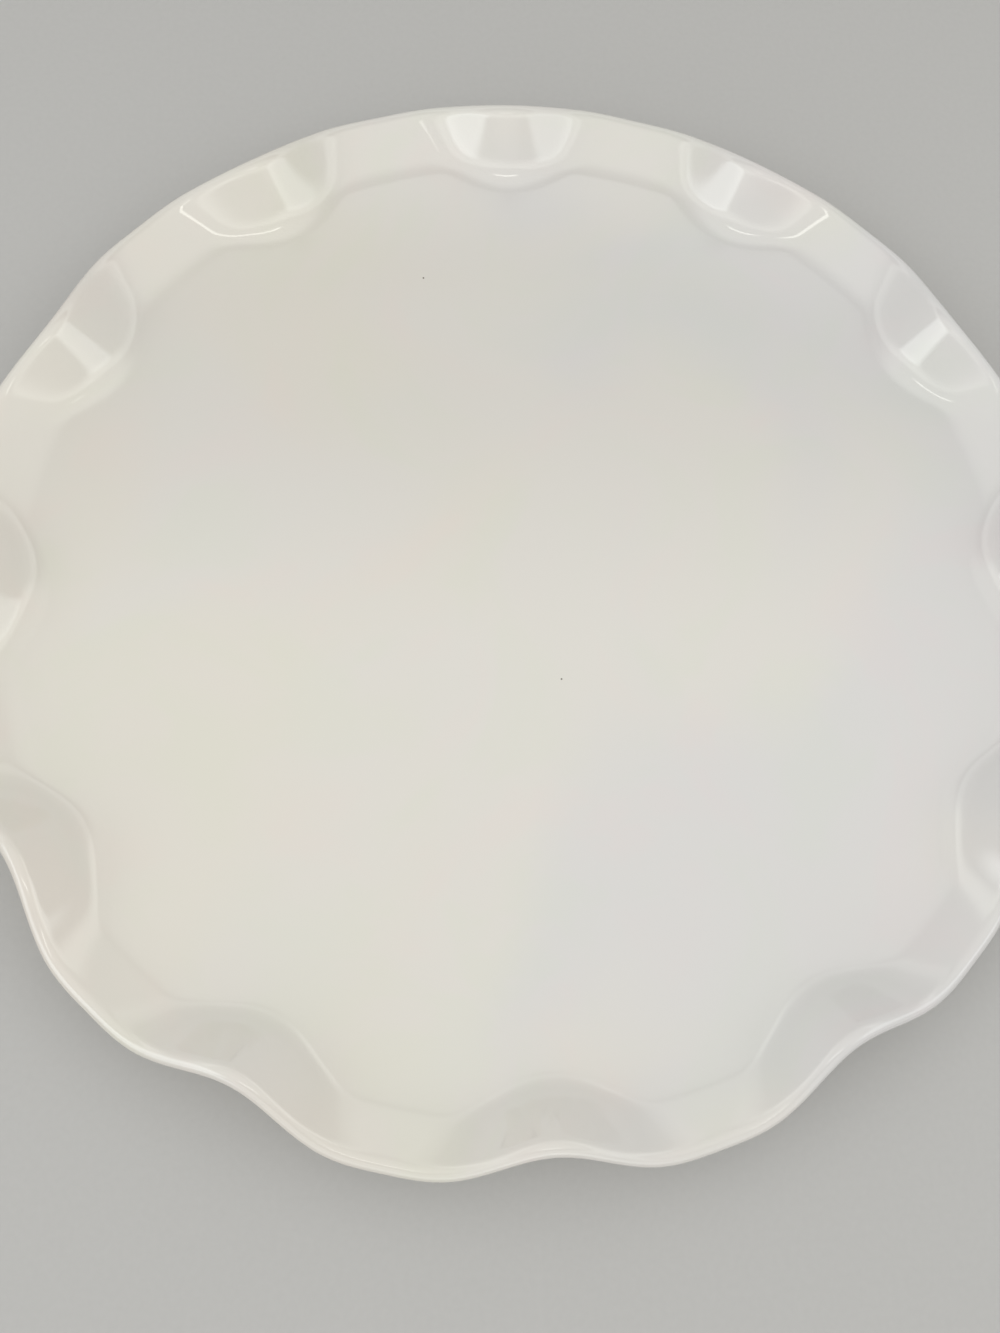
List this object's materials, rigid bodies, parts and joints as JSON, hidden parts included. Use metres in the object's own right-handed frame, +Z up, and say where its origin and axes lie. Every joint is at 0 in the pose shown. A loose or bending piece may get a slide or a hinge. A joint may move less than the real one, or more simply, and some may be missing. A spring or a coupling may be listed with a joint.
{
  "type": "dessert plate",
  "caption": "Round white glazed plate with a flat well, a ruffled upturned rim and a low foot ring, for serving dessert.",
  "frame": {"origin": "on the table, at the middle of the foot ring", "axes": "+Z up out of the well; a crest of the rim lies on +Y and on +X"},
  "size_m": [0.2062, 0.2062, 0.0172],
  "materials": {
    "fired_clay": "bare fired clay, fine grain, shown only on the face that the foot stands on",
    "pearl_glaze": "white gloss glaze with a faint pearl lustre"
  },
  "bodies": {
    "root": {"plate_body": "fired_clay", "foot_ring": "fired_clay", "glaze_coat": "pearl_glaze", "recess_glaze": "pearl_glaze"}
  },
  "joints": []
}
